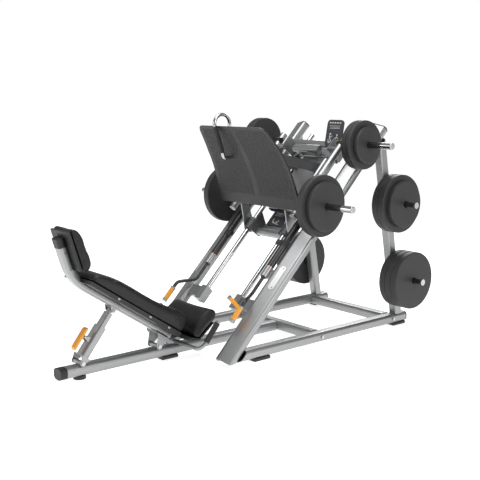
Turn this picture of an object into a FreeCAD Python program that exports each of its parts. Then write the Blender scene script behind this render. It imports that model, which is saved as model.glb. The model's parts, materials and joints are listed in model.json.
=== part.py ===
import FreeCAD, Part
import math
import os

from FreeCAD import Vector

# Plate-loaded angled leg press with a reclining seat. Millimetres, +Z up,
# +X to the seated user's right, +Y from the seat to the storage posts.
# S runs up the guide rods and N stands square to them, towards the user.

os.makedirs("parts", exist_ok=True)

# ---- driving dimensions ----
rail_angle = 45.5          # slope of the guide rods from the floor
foot_height = 24.0         # rubber feet under the base frame
base_w = 92.0              # base tube width
base_h = 72.0              # base tube height
base_wall = 4.0
spine_front = -1440.0      # front end of the centre tube
front_cross_y = 440.0
rear_cross_y = 1257.0
rail_x = 448.0             # centre line of each long base tube
rail_rear = 1421.0
upright_w = 137.0          # wide face of each inclined side member
upright_t = 72.0
upright_turn = 18.0        # turn of the wide face, outer edge lower
upright_x = 367.0          # inner front corner
upright_n = 388.0
upright_top = 1915.0
rod_x = 206.0
rod_n = 348.0
rod_r = 20.0
rod_s0 = 108.0
rod_s1 = 1790.0
top_bar_s = 1692.0
post_front = 1303.0        # storage post front face at the floor
post_w = 74.0
post_lean = 10.3
horn_mid_z = 1018.0
horn_low_z = 407.0
horn_tip_x = 767.0
side_tube_x = 345.0        # carriage side tubes
side_tube_n = 488.0
side_tube_r = 27.5
side_tube_s0 = 872.0
side_tube_s1 = 1662.0
car_low_s = 1008.0         # lower loading horns
car_low_n = 483.0
car_up_s = 1589.0          # upper loading horns
car_up_n = 497.0
car_tip_x = 848.0
horn_r = 25.0
sleeve_r = 24.0            # black sleeve inboard of each horn tip
cross_low_s = 838.0
cross_up_s = 1590.0
low_bar_n = 285.0          # lower carriage bar, below the rods
stop_x = 328.0             # turning stop tubes
stop_n = 393.0
stop_s0 = 392.0
stop_s1 = 1120.0
lug_s = (688.0, 1003.0)
lug_out = 66.0             # reach of the lugs from the turning axis
pivot_y = -730.0           # seat recline pivot
pivot_z = 112.0
strut_y = -1333.0          # foot pivot of the seat strut
strut_z = 112.0
strut_top_y = -1083.0
strut_top_z = 425.0
back_angle = math.radians(33.7)
bolt_r = 8.0
top_pin_r = 6.0
loop_gap = 2.6             # play at the strut's top pin
plate_d = 450.0            # largest weight plates
plate_mid_d = 361.0
plate_small_d = 272.0
plate_t = 56.0
plate_mid_t = 40.0
plate_small_t = 38.0
plate_bore_gap = 1.0       # play of the plates on their horns
load_x_low = 503.0         # inner face of the lower carriage plates
load_x_up = 510.0
store_x = 512.0
fit_gap = 0.05             # running fit of bushings on the rods
pin_gap = 0.05

plate_bore_r = horn_r + plate_bore_gap

a = math.radians(rail_angle)
ca = math.cos(a)
sa = math.sin(a)
d_dir = Vector(0, ca, sa)
n_dir = Vector(0, -sa, ca)
x_dir = Vector(1, 0, 0)
y_dir = Vector(0, 1, 0)
z_dir = Vector(0, 0, 1)
base_top = foot_height + base_h
base_mid = foot_height + base_h / 2


def at(x, s, n):
    return Vector(x, 0, 0) + d_dir * s + n_dir * n


def profile(c, u, v, w, h, r):
    """Rounded rectangle about c, w along u and h along v."""
    r = min(r, w / 2 - 0.01, h / 2 - 0.01)
    k = r * (1 - math.sqrt(0.5))
    edges = []
    pts = []
    for su, sv in ((1, 1), (-1, 1), (-1, -1), (1, -1)):
        cu = su * w / 2
        cv = sv * h / 2
        first = (cu, cv - sv * r)
        last = (cu - su * r, cv)
        if su * sv < 0:
            first, last = last, first
        pts.append((first, (cu - su * k, cv - sv * k), last))

    def p(q):
        return c + u * q[0] + v * q[1]

    for i in range(4):
        first, mid, last = pts[i]
        edges.append(Part.Arc(p(first), p(mid), p(last)).toShape())
        nxt = pts[(i + 1) % 4][0]
        if p(last).distanceToPoint(p(nxt)) > 0.001:
            edges.append(Part.makeLine(p(last), p(nxt)))
    return Part.Wire(edges)


def bar(p0, p1, u, w, h, r, wall=0.0):
    """Straight tube of rounded section from p0 to p1, w along u."""
    axis = p1 - p0
    t = Vector(axis)
    t.normalize()
    v = t.cross(u)
    v.normalize()
    body = Part.Face(profile(p0, u, v, w, h, r)).extrude(axis)
    if wall > 0:
        inner = Part.Face(profile(p0, u, v, w - 2 * wall, h - 2 * wall, max(r - wall, 1.0))).extrude(axis)
        body = body.cut(inner)
    return body


def rod(p0, p1, r):
    axis = p1 - p0
    return Part.makeCylinder(r, axis.Length, p0, axis)


def tube(p0, p1, r, wall):
    return rod(p0, p1, r).cut(rod(p0, p1, r - wall))


def cut_rod(shape, p, axis, r, length):
    """Cut a round hole centred on p along axis."""
    t = Vector(axis)
    t.normalize()
    return shape.cut(rod(p - t * (length / 2), p + t * (length / 2), r))


def block(x0, x1, y0, y1, z0, z1):
    return Part.makeBox(x1 - x0, y1 - y0, z1 - z0, Vector(x0, y0, z0))


def slope_block(x0, x1, s0, s1, n0, n1):
    """Box square to the guide rods."""
    pts = [at(x0, s0, n0), at(x0, s1, n0), at(x0, s1, n1), at(x0, s0, n1), at(x0, s0, n0)]
    return Part.Face(Part.makePolygon(pts)).extrude(Vector(x1 - x0, 0, 0))


def side_plate(x0, x1, pts):
    """Flat shape given by (y, z) points, thick along X."""
    ring = [Vector(x0, y, z) for y, z in pts]
    ring.append(ring[0])
    return Part.Face(Part.makePolygon(ring)).extrude(Vector(x1 - x0, 0, 0))


def bend_path(points, radius):
    """Wire through the points with arcs of one radius at each corner."""
    edges = []
    start = points[0]
    for i in range(1, len(points) - 1):
        b = points[i]
        u = points[i - 1] - b
        w = points[i + 1] - b
        u.normalize()
        w.normalize()
        half = u.getAngle(w) / 2
        t = radius / math.tan(half)
        p1 = b + u * t
        p2 = b + w * t
        m = u + w
        m.normalize()
        mid = b + m * (radius / math.sin(half) - radius)
        edges.append(Part.makeLine(start, p1))
        edges.append(Part.Arc(p1, mid, p2).toShape())
        start = p2
    edges.append(Part.makeLine(start, points[-1]))
    return Part.Wire(edges)


def bent_rod(points, radius, r):
    path = bend_path(points, radius)
    t = points[1] - points[0]
    ring = Part.Wire(Part.makeCircle(r, points[0], t))
    return path.makePipeShell([ring], True, False)


def bent_bar(points, radius, w, h, r):
    """Rounded section swept along a path in the Y-Z plane, w along X."""
    path = bend_path(points, radius)
    t = points[1] - points[0]
    t.normalize()
    v = t.cross(x_dir)
    ring = profile(points[0], x_dir, v, w, h, r)
    return path.makePipeShell([ring], True, False)


def arc_ring(x0, x1, pts):
    """Y-Z outline: each entry is a point, or (mid, end) for an arc."""
    edges = []
    first = Vector(x0, pts[0][0], pts[0][1])
    here = first
    for q in pts[1:] + [pts[0]]:
        if isinstance(q[0], tuple):
            mid = Vector(x0, q[0][0], q[0][1])
            end = Vector(x0, q[1][0], q[1][1])
            edges.append(Part.Arc(here, mid, end).toShape())
        else:
            end = Vector(x0, q[0], q[1])
            edges.append(Part.makeLine(here, end))
        here = end
    return Part.Face(Part.Wire(edges)).extrude(Vector(x1 - x0, 0, 0))


def soften(shape, r, pick):
    """Round the edges that pick chooses."""
    chosen = [e for e in shape.Edges if pick(e)]
    try:
        out = shape.makeFillet(r, chosen)
        if out.isValid() and out.Volume > 0:
            return out
    except Exception:
        pass
    return shape


def solid_of(shape):
    if shape.ShapeType == "Solid":
        return shape
    return shape.Solids[0]


def save(name, shapes):
    if not isinstance(shapes, (list, tuple)):
        shapes = [shapes]
    solids = []
    for s in shapes:
        solids.extend(s.Solids)
    whole = solids[0] if len(solids) == 1 else Part.makeCompound(solids)
    for s in solids:
        if not s.isValid() or s.Volume <= 0:
            print("BAD", name)
    whole.exportStep("parts/" + name + ".step")
    print(name, len(solids), round(whole.Volume / 1000.0))


def both(make):
    """One piece for each side of the machine."""
    return [make(1), make(-1)]


# ---- base frame ----
spine = bar(Vector(0, spine_front, base_mid), Vector(0, front_cross_y - base_w / 2, base_mid),
            x_dir, base_w, base_h, 24, base_wall)
save("spine_tube", spine)



tu = math.radians(upright_turn)


def upright_axes(sx):
    u = x_dir * (sx * math.cos(tu)) - n_dir * math.sin(tu)
    v = x_dir * (sx * math.sin(tu)) + n_dir * math.cos(tu)
    return u, v


def upright_mid(sx, s):
    u, v = upright_axes(sx)
    return at(sx * upright_x, s, upright_n) + u * (upright_w / 2) - v * (upright_t / 2)


def above_upright(sx):
    """Everything on the user's side of a side member's back face."""
    u, v = upright_axes(sx)
    c = upright_mid(sx, -600) - v * (upright_t / 2)
    pts = [c - u * 700, c + u * 700, c + u * 700 + v * 900, c - u * 700 + v * 900, c - u * 700]
    return Part.Face(Part.makePolygon(pts)).extrude(d_dir * 3400)


def rail(sx):
    b = bar(Vector(sx * rail_x, -420, base_mid), Vector(sx * rail_x, rail_rear - 8, base_mid),
            x_dir, base_w, base_h, 24, base_wall)
    return solid_of(b.cut(above_upright(sx)))


save("base_rails", both(rail))

cross_half = rail_x - base_w / 2
cross = []
for y in (front_cross_y, rear_cross_y):
    cross.append(bar(Vector(-cross_half, y, base_mid), Vector(cross_half, y, base_mid), y_dir, base_w, base_h,
                     24, base_wall))
save("cross_tubes", cross)

# ---- inclined side members ----


def upright(sx):
    u, v = upright_axes(sx)
    c = upright_mid(sx, -300.0)
    axis = d_dir * (upright_top - 8 + 300.0)
    outer = Part.Face(profile(c, u, v, upright_w, upright_t, 26)).extrude(axis)
    inner = Part.Face(profile(c, u, v, upright_w - 10, upright_t - 10, 21)).extrude(axis)
    body = outer.cut(inner)
    floor = block(-900, 900, -1500, 900, -900, foot_height)
    return solid_of(body.cut(floor))


save("uprights", both(upright))

# ---- black end caps ----
caps = []
for sx in (1, -1):
    u, v = upright_axes(sx)
    c = upright_mid(sx, upright_top - 8)
    caps.append(Part.Face(profile(c, u, v, upright_w + 2, upright_t + 2, 27)).extrude(d_dir * 8))
    p = Vector(sx * rail_x, rail_rear - 8, base_mid)
    caps.append(bar(p, p + y_dir * 8, x_dir, base_w + 2, base_h + 2, 25))
cap_l = 51.5
front_cap = bar(Vector(0, spine_front - cap_l, base_mid), Vector(0, spine_front, base_mid),
                x_dir, base_w + 4, base_h + 4, 30)
for sx in (1, -1):
    front_cap = cut_rod(front_cap, Vector(sx * 22, spine_front - cap_l, base_mid), y_dir, 6, 12)
caps.append(front_cap)
save("frame_end_caps", caps)

# ---- feet ----
feet = []
for sx in (1, -1):
    for y in (-150.0, 1340.0):
        feet.append(bar(Vector(sx * rail_x, y - 70, foot_height / 2),
                        Vector(sx * rail_x, y + 70, foot_height / 2),
                        x_dir, 84, foot_height, 6))
feet.append(bar(Vector(0, -690, foot_height / 2), Vector(0, -560, foot_height / 2), x_dir,
                84, foot_height, 6))
feet.append(rod(Vector(0, -1330, 0), Vector(0, -1330, foot_height), 42))
save("rubber_feet", feet)

# ---- guide rods, their lower brackets and the fixed top bar ----
save("guide_rods", both(lambda sx: rod(at(sx * rod_x, rod_s0, rod_n), at(sx * rod_x, rod_s1, rod_n), rod_r)))


def rod_bracket(sx):
    b = slope_block(sx * rod_x - 31, sx * rod_x + 31, rod_s0 - 12, rod_s0 + 106, rod_n - 34, rod_n + 34)
    x1 = sx * (rod_x + 24)
    x2 = sx * (upright_x + 4)
    b = b.fuse(slope_block(min(x1, x2), max(x1, x2), rod_s0 + 8, rod_s0 + 98, rod_n - 12, rod_n + 18))
    b = b.cut(rod(at(sx * rod_x, rod_s0, rod_n), at(sx * rod_x, rod_s0 + 160, rod_n), rod_r))
    u, v = upright_axes(sx)
    core = Part.Face(profile(upright_mid(sx, -300), u, v, upright_w, upright_t, 26)).extrude(d_dir * 2500)
    return solid_of(b.cut(core))


save("rod_brackets", both(rod_bracket))

top_bar = bar(at(-upright_x - 6, top_bar_s, rod_n), at(upright_x + 6, top_bar_s, rod_n), d_dir, 64, 62, 22)
for sx in (1, -1):
    u, v = upright_axes(sx)
    core = Part.Face(profile(upright_mid(sx, 1500), u, v, upright_w, upright_t, 26)).extrude(d_dir * 400)
    top_bar = top_bar.cut(core)
    top_bar = cut_rod(top_bar, at(sx * rod_x, top_bar_s, rod_n), d_dir, rod_r, 200)
save("top_crossbar", solid_of(top_bar))

# ---- storage posts and horns ----
lean = math.radians(post_lean)
post_dir = Vector(0, -math.sin(lean), math.cos(lean))


def post_point(x, z):
    y = post_front + (post_w / 2) / math.cos(lean) - z * math.tan(lean)
    return Vector(x, y, z)


def post(sx):
    x0 = sx * (rail_x + 9)
    b = bar(post_point(x0, 0), post_point(x0, 1700), x_dir, post_w, post_w, 14, 4)
    b = b.cut(block(-900, 900, 1000, 1600, -10, base_top))
    return solid_of(b.cut(above_upright(sx)))


save("storage_posts", both(post))

post_out = rail_x + 9 + post_w / 2
mid_y = post_point(0, horn_mid_z).y
low_y = post_point(0, horn_low_z).y
horns = []
tips = []
for sx in (1, -1):
    for y, z in ((mid_y, horn_mid_z), (low_y, horn_low_z)):
        h = rod(Vector(sx * post_out, y, z), Vector(sx * (horn_tip_x - 16), y, z), 19)
        c = rod(Vector(sx * post_out, y, z), Vector(sx * (store_x - 1), y, z), 44)
        horns.append(h.fuse(c))
        tips.append(rod(Vector(sx * (horn_tip_x - 16), y, z), Vector(sx * horn_tip_x, y, z), 24.5))
save("storage_horns", horns)
save("storage_horn_tips", tips)

# ---- pivot tubes on the centre tube ----
pivots = []
for y, z in ((pivot_y, pivot_z), (strut_y, strut_z)):
    b = rod(Vector(-49, y, z), Vector(49, y, z), 16)
    b = b.fuse(block(-40, 40, y - 9, y + 9, base_top, z))
    b = cut_rod(b, Vector(0, y, z), x_dir, bolt_r, 200)
    pivots.append(solid_of(b))
save("pivot_tubes", pivots)

# ---- weight plates ----


def plate(x0, y, z, sx, dia, t):
    """Flat disc with bevelled rims."""
    p0 = Vector(sx * x0, y, z)
    r = dia / 2
    pts = [(plate_bore_r, 0), (r - 7, 0), (r - 2, 2), (r, 7), (r, t - 7), (r - 2, t - 2), (r - 7, t),
           (plate_bore_r, t)]
    ring = []
    for q in pts:
        ring.append(p0 + y_dir * q[0] + x_dir * (sx * q[1]))
    ring.append(ring[0])
    return Part.Face(Part.makePolygon(ring)).revolve(p0, x_dir, 360)


def stack(sx, x0, y, z, kinds):
    """Plates of one horn, touching at their hubs, as one welded-up stack."""
    out = []
    x = x0
    for dia, t in kinds:
        out.append(plate(x, y, z, sx, dia, t))
        x = x + t
    whole = out[0]
    for s in out[1:]:
        whole = whole.fuse(s)
    return whole


big = (plate_d, plate_t)
medium = (plate_mid_d, plate_mid_t)
small = (plate_small_d, plate_small_t)
low_p = at(0, car_low_s, car_low_n)
up_p = at(0, car_up_s, car_up_n)
side_name = {1: "right", -1: "left"}
for sx in (-1, 1):
    side = side_name[sx]
    save(side + "_lower_plates", stack(sx, load_x_low, low_p.y, low_p.z, (big, medium)))
    save(side + "_upper_plates", stack(sx, load_x_up, up_p.y, up_p.z, (medium, medium, small)))
    save(side + "_mid_stored_plates", stack(sx, store_x, mid_y, horn_mid_z, (big, big, medium)))
    save(side + "_low_stored_plates", stack(sx, store_x, low_y, horn_low_z, (big, big, big)))

# ---- carriage ----


def side_tube(sx):
    b = tube(at(sx * side_tube_x, side_tube_s0, side_tube_n), at(sx * side_tube_x, side_tube_s1, side_tube_n),
             side_tube_r, 5)
    for s in (side_tube_s0, side_tube_s1 - 6):
        b = b.fuse(rod(at(sx * side_tube_x, s, side_tube_n), at(sx * side_tube_x, s + 6, side_tube_n),
                       side_tube_r))
    for s, n in ((car_low_s, car_low_n), (car_up_s, car_up_n)):
        b = cut_rod(b, at(sx * side_tube_x, s, n), x_dir, sleeve_r, 120)
    return solid_of(b)


save("carriage_side_tubes", both(side_tube))

sleeves = []
horn_tips = []
for sx in (1, -1):
    for s, n, x0 in ((car_low_s, car_low_n, load_x_low), (car_up_s, car_up_n, load_x_up)):
        h = rod(at(sx * (side_tube_x - side_tube_r + 0.5), s, n), at(sx * (car_tip_x - 100), s, n), sleeve_r)
        h = h.fuse(rod(at(sx * (x0 - 22), s, n), at(sx * (x0 - 1), s, n), 46))
        sleeves.append(h)
        t = rod(at(sx * (car_tip_x - 100), s, n), at(sx * car_tip_x, s, n), horn_r)
        horn_tips.append(soften(t, 6, lambda e: abs(abs(e.CenterOfMass.x) - car_tip_x) < 1))
save("horn_sleeves", sleeves)
save("horn_tips", horn_tips)

house_r = 36.0
house_l = 50.0             # half length of a bearing housing
bush_out = 27.0
houses = []
bushes = []
for sx in (1, -1):
    for s in (cross_low_s, cross_up_s):
        h = rod(at(sx * rod_x, s - house_l, rod_n), at(sx * rod_x, s + house_l, rod_n), house_r)
        h = h.cut(rod(at(sx * rod_x, s - 63, rod_n), at(sx * rod_x, s + 63, rod_n), bush_out))
        houses.append(h)
        b = rod(at(sx * rod_x, s - house_l - 4, rod_n), at(sx * rod_x, s + house_l + 4, rod_n), bush_out)
        b = b.cut(rod(at(sx * rod_x, s - 67, rod_n), at(sx * rod_x, s + 67, rod_n), rod_r + fit_gap))
        bushes.append(b)
save("bearing_housings", houses)
save("guide_bushings", bushes)


def crossbar():
    """Upper bar between the two bearing housings."""
    b = bar(at(-rod_x, cross_up_s, rod_n), at(rod_x, cross_up_s, rod_n), d_dir, 90, 58, 24, 4)
    for sx in (1, -1):
        b = b.cut(rod(at(sx * rod_x, cross_up_s - 70, rod_n), at(sx * rod_x, cross_up_s + 70, rod_n),
                      house_r))
    return max(b.Solids, key=lambda q: q.Volume)


gusset_x = 160.0
gusset_t = 10.0
low_bar = bar(at(-gusset_x, cross_low_s - 10, low_bar_n), at(gusset_x, cross_low_s - 10, low_bar_n), d_dir,
              60, 58, 24, 4)
save("carriage_crossbars", [low_bar, crossbar()])

# Webs join the bearing housings to the side tubes.
web_t = 10.0


def web(sx, s, outline):
    x0 = sx * (rod_x + 38)
    lo = min(x0, x0 + sx * web_t)
    pts = [at(lo, q[0], q[1]) for q in outline]
    pts.append(pts[0])
    b = Part.Face(Part.makePolygon(pts)).extrude(Vector(web_t, 0, 0))
    for k in (-30, 30):
        stub = rod(at(sx * (rod_x + 33), s + k, rod_n), at(sx * (rod_x + 40), s + k, rod_n), 12)
        b = b.fuse(stub.cut(rod(at(sx * rod_x, s - 64, rod_n), at(sx * rod_x, s + 64, rod_n), house_r)))
    return b


def arm(sx, s):
    a = rod(at(sx * (rod_x + 40), s, side_tube_n), at(sx * side_tube_x, s, side_tube_n), 17)
    return a.cut(rod(at(sx * side_tube_x, s - 60, side_tube_n), at(sx * side_tube_x, s + 60, side_tube_n),
                     side_tube_r))


webs = []
for sx in (1, -1):
    w = web(sx, cross_low_s, [(782, 330), (892, 330), (962, 462), (962, 510), (908, 510)])
    webs.append(w.fuse(arm(sx, cross_low_s + 100)))
    w = web(sx, cross_up_s, [(1540, 330), (1640, 330), (1640, 506), (1522, 506)])
    webs.append(w.fuse(arm(sx, cross_up_s - 46)))
webs = [max(w.Solids, key=lambda q: q.Volume) for w in webs]
save("carriage_webs", webs)

# ---- footplate ----
foot_t = 14.0
edge_pts = [(-59.0, 1620.0), (21.0, 1514.0), (80.0, 1423.0),
            (161.0, 1262.0), (213.0, 1106.0), (240.0, 1020.0)]
half_w = [371.0, 401.0, 422.0, 438.0, 448.0, 446.0]


def foot_face():
    """Curved slab: offset of the side curve, trimmed to the tapered width."""
    front = Part.BSplineCurve()
    front.interpolate([Vector(-450, y, z) for y, z in edge_pts])
    back_pts = []
    for i, q in enumerate(edge_pts):
        u0 = edge_pts[max(i - 1, 0)]
        u1 = edge_pts[min(i + 1, len(edge_pts) - 1)]
        ty = u1[0] - u0[0]
        tz = u1[1] - u0[1]
        k = math.hypot(ty, tz)
        back_pts.append(Vector(-450, q[0] - tz / k * foot_t, q[1] + ty / k * foot_t))
    back = Part.BSplineCurve()
    back.interpolate(back_pts)
    e = [front.toShape(), Part.makeLine(front.EndPoint, back.EndPoint), back.toShape(),
         Part.makeLine(back.StartPoint, front.StartPoint)]
    slab = Part.Face(Part.Wire(Part.__sortEdges__(e))).extrude(Vector(900, 0, 0))
    # rolled lower lip
    end = edge_pts[-1]
    lip_pts = [(end[0], end[1]), (end[0] + 8, end[1] - 18),
               ((end[0] + 20, end[1] - 34), (end[0] + 42, end[1] - 36)),
               (end[0] + 62, end[1] - 32), (end[0] + 62, end[1] - 20), (end[0] + 44, end[1] - 22),
               ((end[0] + 30, end[1] - 20), (end[0] + 22, end[1] - 8)), (end[0] + 14, end[1] + 4)]
    lip = arc_ring(-450, 450, lip_pts)
    slab = slab.fuse(lip)
    outline = []
    for (y, z), w in zip(edge_pts, half_w):
        outline.append((w, z))
    r = 42.0
    top = edge_pts[0][1]
    low = end[1] - 40
    w0 = half_w[0]
    w1 = half_w[-1]
    right = [(w0 - r, top), (w0 - 12, top - 12), (w0 + 12, top - r)] + outline[1:-1]
    right = right + [(w1, low + 22), (w1 - 6, low + 8), (w1 - 20, low - 2)]
    pts = [Vector(x, -600, z) for x, z in right]
    pts = pts + [Vector(-x, -600, z) for x, z in reversed(right)]
    pts.append(pts[0])
    mask = Part.Face(Part.makePolygon(pts)).extrude(Vector(0, 1400, 0))
    return slab.common(mask)


plate_body = foot_face()
save("footplate", solid_of(plate_body))


spine_n0 = 316.0           # flat-oval spine of the carriage, between the rods
spine_n1 = 366.0


def foot_back(z):
    """y of the footplate's front face at a height."""
    for (y0, z0), (y1, z1) in zip(edge_pts, edge_pts[1:]):
        if z1 <= z <= z0:
            k = (z - z0) / (z1 - z0)
            return y0 + k * (y1 - y0)
    return edge_pts[-1][0]


arm_x = 96.0
gussets = []
for sx in (1, -1):
    lo = min(sx * gusset_x, sx * (gusset_x + gusset_t))
    ring = [at(lo, 782, 372), at(lo, 962, 367), at(lo, 902, 232), at(lo, 800, 250), at(lo, 782, 372)]
    g = Part.Face(Part.makePolygon(ring)).extrude(Vector(gusset_t, 0, 0))
    gussets.append(g.cut(rod(at(sx * rod_x, 700, rod_n), at(sx * rod_x, 1000, rod_n), house_r)))
    lo = min(sx * arm_x, sx * (arm_x + 12))
    for z0, z1, s0, s1 in ((1105.0, 1185.0, 1040.0, 1130.0), (1400.0, 1480.0, 1400.0, 1490.0)):
        near = [Vector(lo, foot_back(z0) + foot_t + 4, z0), Vector(lo, foot_back(z1) + foot_t + 4, z1)]
        far = [at(lo, s1, spine_n1), at(lo, s0, spine_n1)]
        ring = near + far + [near[0]]
        g = Part.Face(Part.makePolygon(ring)).extrude(Vector(12, 0, 0)).cut(plate_body)
        gussets.append(max(g.Solids, key=lambda q: q.Volume))
save("carriage_gussets", gussets)

# ---- wide flat-oval tube between the two crossbars ----
spine_mid = (spine_n0 + spine_n1) / 2
back = bar(at(0, 1010, spine_mid), at(0, cross_up_s - 44, spine_mid), x_dir, 276, spine_n1 - spine_n0, 24, 4)
upper = bar(at(-rod_x, cross_up_s, rod_n), at(rod_x, cross_up_s, rod_n), d_dir, 90, 58, 24)
save("back_panel", max(back.cut(upper).Solids, key=lambda q: q.Volume))

# ---- stop tubes with hand levers ----
ring_s = stop_s0 + 82


def stop_tube(sx):
    t = rod(at(sx * stop_x, stop_s0 - 10, stop_n), at(sx * stop_x, stop_s1, stop_n), 18)
    for s in lug_s:
        lug = bar(at(sx * (stop_x - 10), s, stop_n + 6), at(sx * (stop_x - lug_out), s, stop_n + 22), d_dir,
                  44, 30, 12)
        t = t.fuse(lug)
    crank = bent_rod([at(sx * stop_x, stop_s0, stop_n), at(sx * stop_x, 238, stop_n),
                      at(sx * 404, 138, 471), at(sx * 404, 84, 471)], 46, 13)
    return t.fuse(crank)


def stop_sleeve(sx):
    t = rod(at(sx * stop_x, ring_s + 6, stop_n), at(sx * stop_x, stop_s1 - 60, stop_n), 28)
    t = t.cut(rod(at(sx * stop_x, ring_s, stop_n), at(sx * stop_x, stop_s1, stop_n), 18))
    return solid_of(t.cut(stop_tube(sx)))


def stop_grip(sx):
    g = rod(at(sx * 404, 84, 471), at(sx * 404, -44, 471), 19)
    if sx > 0:
        peg = rod(at(404, 66, 471), at(330, 96, 560), 15)
        g = g.fuse(peg)
    return g.cut(stop_tube(sx))


for sx in (-1, 1):
    save(side_name[sx] + "_stop_tube", stop_tube(sx))
    save(side_name[sx] + "_stop_sleeve", stop_sleeve(sx))
    save(side_name[sx] + "_stop_grip", stop_grip(sx))

bearings = []
for sx in (1, -1):
    for s0, s1 in ((stop_s0, ring_s), (stop_s1 - 54, stop_s1 - 4)):
        c = rod(at(sx * stop_x, s0, stop_n), at(sx * stop_x, s1, stop_n), 29)
        x1 = sx * (stop_x + 6)
        x2 = sx * (upright_x + 12)
        arm = slope_block(min(x1, x2), max(x1, x2), s0 + 8, s1 - 8, stop_n - 42, stop_n - 4)
        u, v = upright_axes(sx)
        core = Part.Face(profile(upright_mid(sx, 0), u, v, upright_w, upright_t, 26)).extrude(d_dir * 1500)
        c = c.fuse(arm.cut(core))
        c = c.cut(rod(at(sx * stop_x, s0 - 5, stop_n), at(sx * stop_x, s1 + 5, stop_n), 18 + pin_gap))
        bearings.append(max(c.Solids, key=lambda q: q.Volume))
save("stop_bearings", bearings)

# ---- seat ----
q_dir = Vector(0, -math.cos(back_angle), math.sin(back_angle))     # up the back
q_nrm = Vector(0, math.sin(back_angle), math.cos(back_angle))      # out of the cushion
seat_low = Vector(0, -620, 167)
seat_bend = seat_low + q_dir * 899
seat_top = seat_bend + Vector(0, -69, 225)
tube_h = 52.0
tube_w = 88.0
back_tube = bent_bar([seat_low, seat_bend, seat_top], 330, tube_w, tube_h, 20)
save("seat_back_tube", back_tube)

h_dir = seat_top - seat_bend
h_dir.normalize()
h_nrm = Vector(0, h_dir.z, -h_dir.y)
seat_caps = [bar(seat_top, seat_top + h_dir * 62, x_dir, tube_w + 4, tube_h + 4, 24),
             bar(seat_low - q_dir * 12, seat_low, x_dir, tube_w + 2, tube_h + 2, 21)]
save("seat_tube_caps", seat_caps)


def on_back(t, n):
    """(y, z) at t up the back tube and n out from its centre line."""
    p = seat_low + q_dir * t + q_nrm * n
    return (p.y, p.z)


def on_head(t, n):
    p = seat_top + h_dir * t + h_nrm * n
    return (p.y, p.z)


def pad(points, half_wide, r):
    """Cushion: a smooth side outline over a flat base, with rounded sides."""
    crown = Part.BSplineCurve()
    crown.interpolate([Vector(-half_wide, y, z) for y, z in points])
    ring = [crown.toShape(), Part.makeLine(crown.EndPoint, crown.StartPoint)]
    b = Part.Face(Part.Wire(ring)).extrude(Vector(2 * half_wide, 0, 0))
    mid = (crown.StartPoint + crown.EndPoint) / 2
    rim = []
    for e in b.Edges:
        m = e.CenterOfMass
        if abs(abs(m.x) - half_wide) < 0.5 and math.hypot(m.y - mid.y, m.z - mid.z) > 8:
            rim.append(e)
    for k in (r, r * 0.8, r * 0.6, r * 0.4, r * 0.25):
        try:
            out = b.makeFillet(k, rim)
            if out.isValid() and len(out.Solids) == 1:
                return out
        except Exception:
            continue
    print("square sides on a pad", points[0])
    return b


back_pad = pad([on_back(24, 40), on_back(6, 96), on_back(30, 150), on_back(96, 168), on_back(220, 152),
                on_back(380, 138), on_back(640, 136), on_back(780, 118), on_back(860, 78), on_back(868, 40)],
               186, 40)
save("back_pad", back_pad)
head_pad = pad([on_head(-178, 40), on_head(-196, 72), on_head(-170, 110), on_head(-120, 121),
                on_head(-20, 116),
                on_head(60, 104), on_head(106, 78), on_head(108, 40)], 130, 26)
save("head_pad", head_pad)
seat_pad = pad([(-490, 160), (-545, 196), (-520, 262), (-470, 318), (-420, 350), (-366, 354),
                (-340, 330), (-340, 292), (-358, 264)], 222, 22)
seat_pad = seat_pad.cut(pad([on_back(20, 20), on_back(5, 96), on_back(29, 151), on_back(96, 169),
                             on_back(220, 153),
                             on_back(380, 139), on_back(400, 20)], 240, 1))
save("seat_pad", max(seat_pad.Solids, key=lambda q: q.Volume))

# Moulded trays under the cushions; the back tray is grooved for the tube.
tray = side_plate(-172, 172, [on_back(30, 8), on_back(30, 39.5), on_back(860, 39.5), on_back(860, 14)])
tray = tray.cut(bar(seat_low - q_dir * 80, seat_low + q_dir * 80, x_dir, tube_w + 1, tube_h + 1, 20))
tray = tray.cut(back_tube)
head_tray = side_plate(-116, 116, [on_head(-168, 24), on_head(-170, 39.5), on_head(100, 39.5),
                                   on_head(100, 24)])
head_tray = head_tray.cut(bar(seat_top, seat_top + h_dir * 80, x_dir, tube_w + 6, tube_h + 7, 24))
head_tray = head_tray.cut(back_tube)
seat_tray = side_plate(-204, 204, [(-566, 176), (-563, 176), (-490, 159.5), (-368, 257), (-360, 250),
                                   (-487, 147),
                                   (-588, 160), (-590, 172)])
seat_tray = seat_tray.cut(bar(seat_low - q_dir * 12, seat_low + q_dir * 20, x_dir, tube_w + 3, tube_h + 3,
                              21))
seat_tray = seat_tray.cut(seat_pad)
trays = [max(q.Solids, key=lambda k: k.Volume) for q in (tray, head_tray, seat_tray)]
save("pad_trays", trays)

# Yoke at the recline pivot, with the gusset that carries the grip tube.
piv = Vector(0, pivot_y, pivot_z)


def yoke_ear(x0, x1, p, top, r):
    """Ear from two top points down round a pivot at p."""
    ring = side_plate(x0, x1, [top[0], top[1], (p.y + r, p.z), (p.y, p.z - r * 0.7), (p.y - r, p.z)])
    ring = ring.fuse(rod(Vector(x0, p.y, p.z), Vector(x1, p.y, p.z), r))
    return ring.cut(rod(Vector(x0 - 1, p.y, p.z), Vector(x1 + 1, p.y, p.z), bolt_r + pin_gap))


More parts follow.
